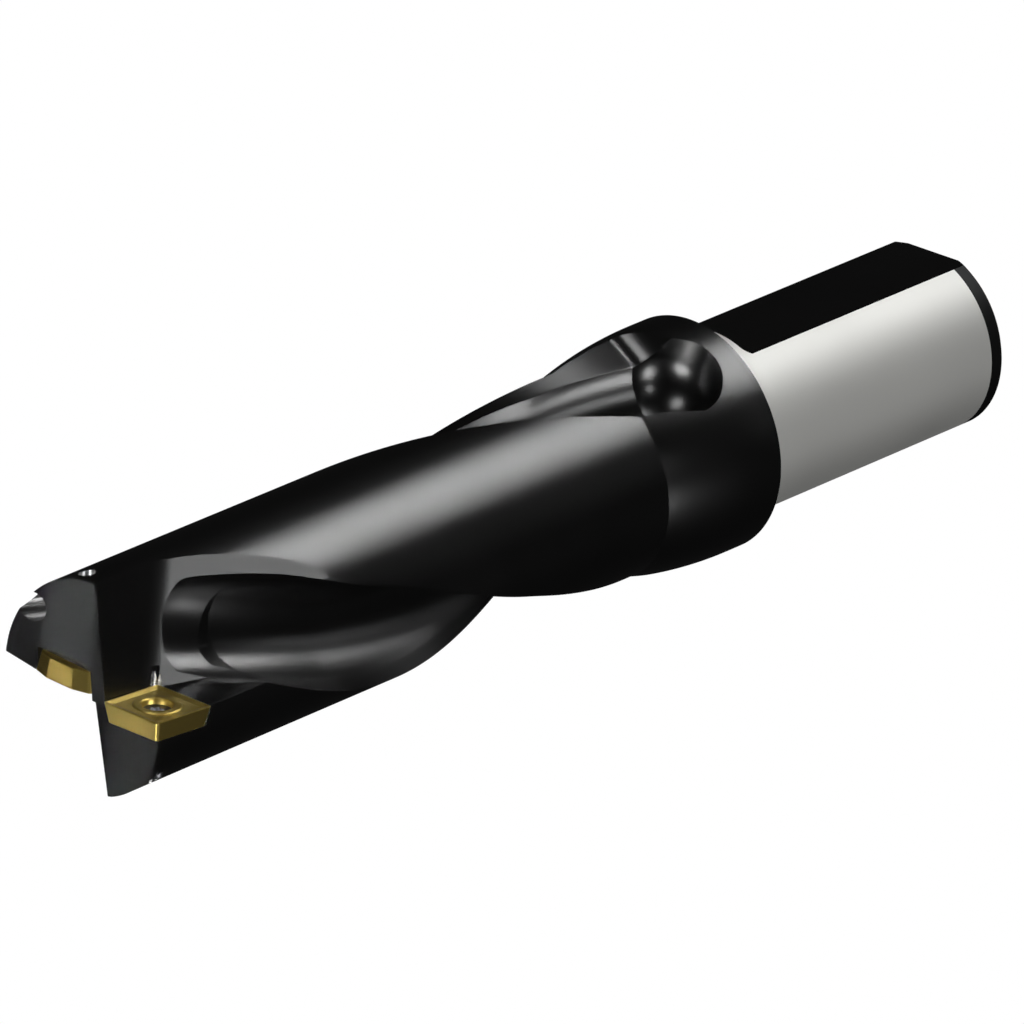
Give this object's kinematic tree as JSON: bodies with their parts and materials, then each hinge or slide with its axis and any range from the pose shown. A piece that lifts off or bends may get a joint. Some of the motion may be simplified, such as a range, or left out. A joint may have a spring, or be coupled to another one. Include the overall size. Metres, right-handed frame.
{
  "type": "indexable insert drill",
  "caption": "Short hole drill with a flatted cylindrical shank, collar, helical flutes and screwed-on cutting inserts at the tip.",
  "frame": {"origin": "centre of the shank's end face, which the drill stands on", "axes": "+Z along the drill's axis to the cutting tip, -Y square to the clamping flat, -X to the peripheral insert"},
  "size_m": [0.0398, 0.0396, 0.1944],
  "materials": {
    "blackened_steel": "hardened steel, smooth black finish, satin gloss; the shank is ground bright",
    "coated_carbide": "cemented carbide with a golden coating, satin",
    "screw_steel": "dark hardened steel screw"
  },
  "bodies": {
    "root": {"drill_body": "blackened_steel", "peripheral_insert": "coated_carbide", "central_insert": "coated_carbide", "peripheral_insert_screw": "screw_steel", "central_insert_screw": "screw_steel"}
  },
  "joints": []
}
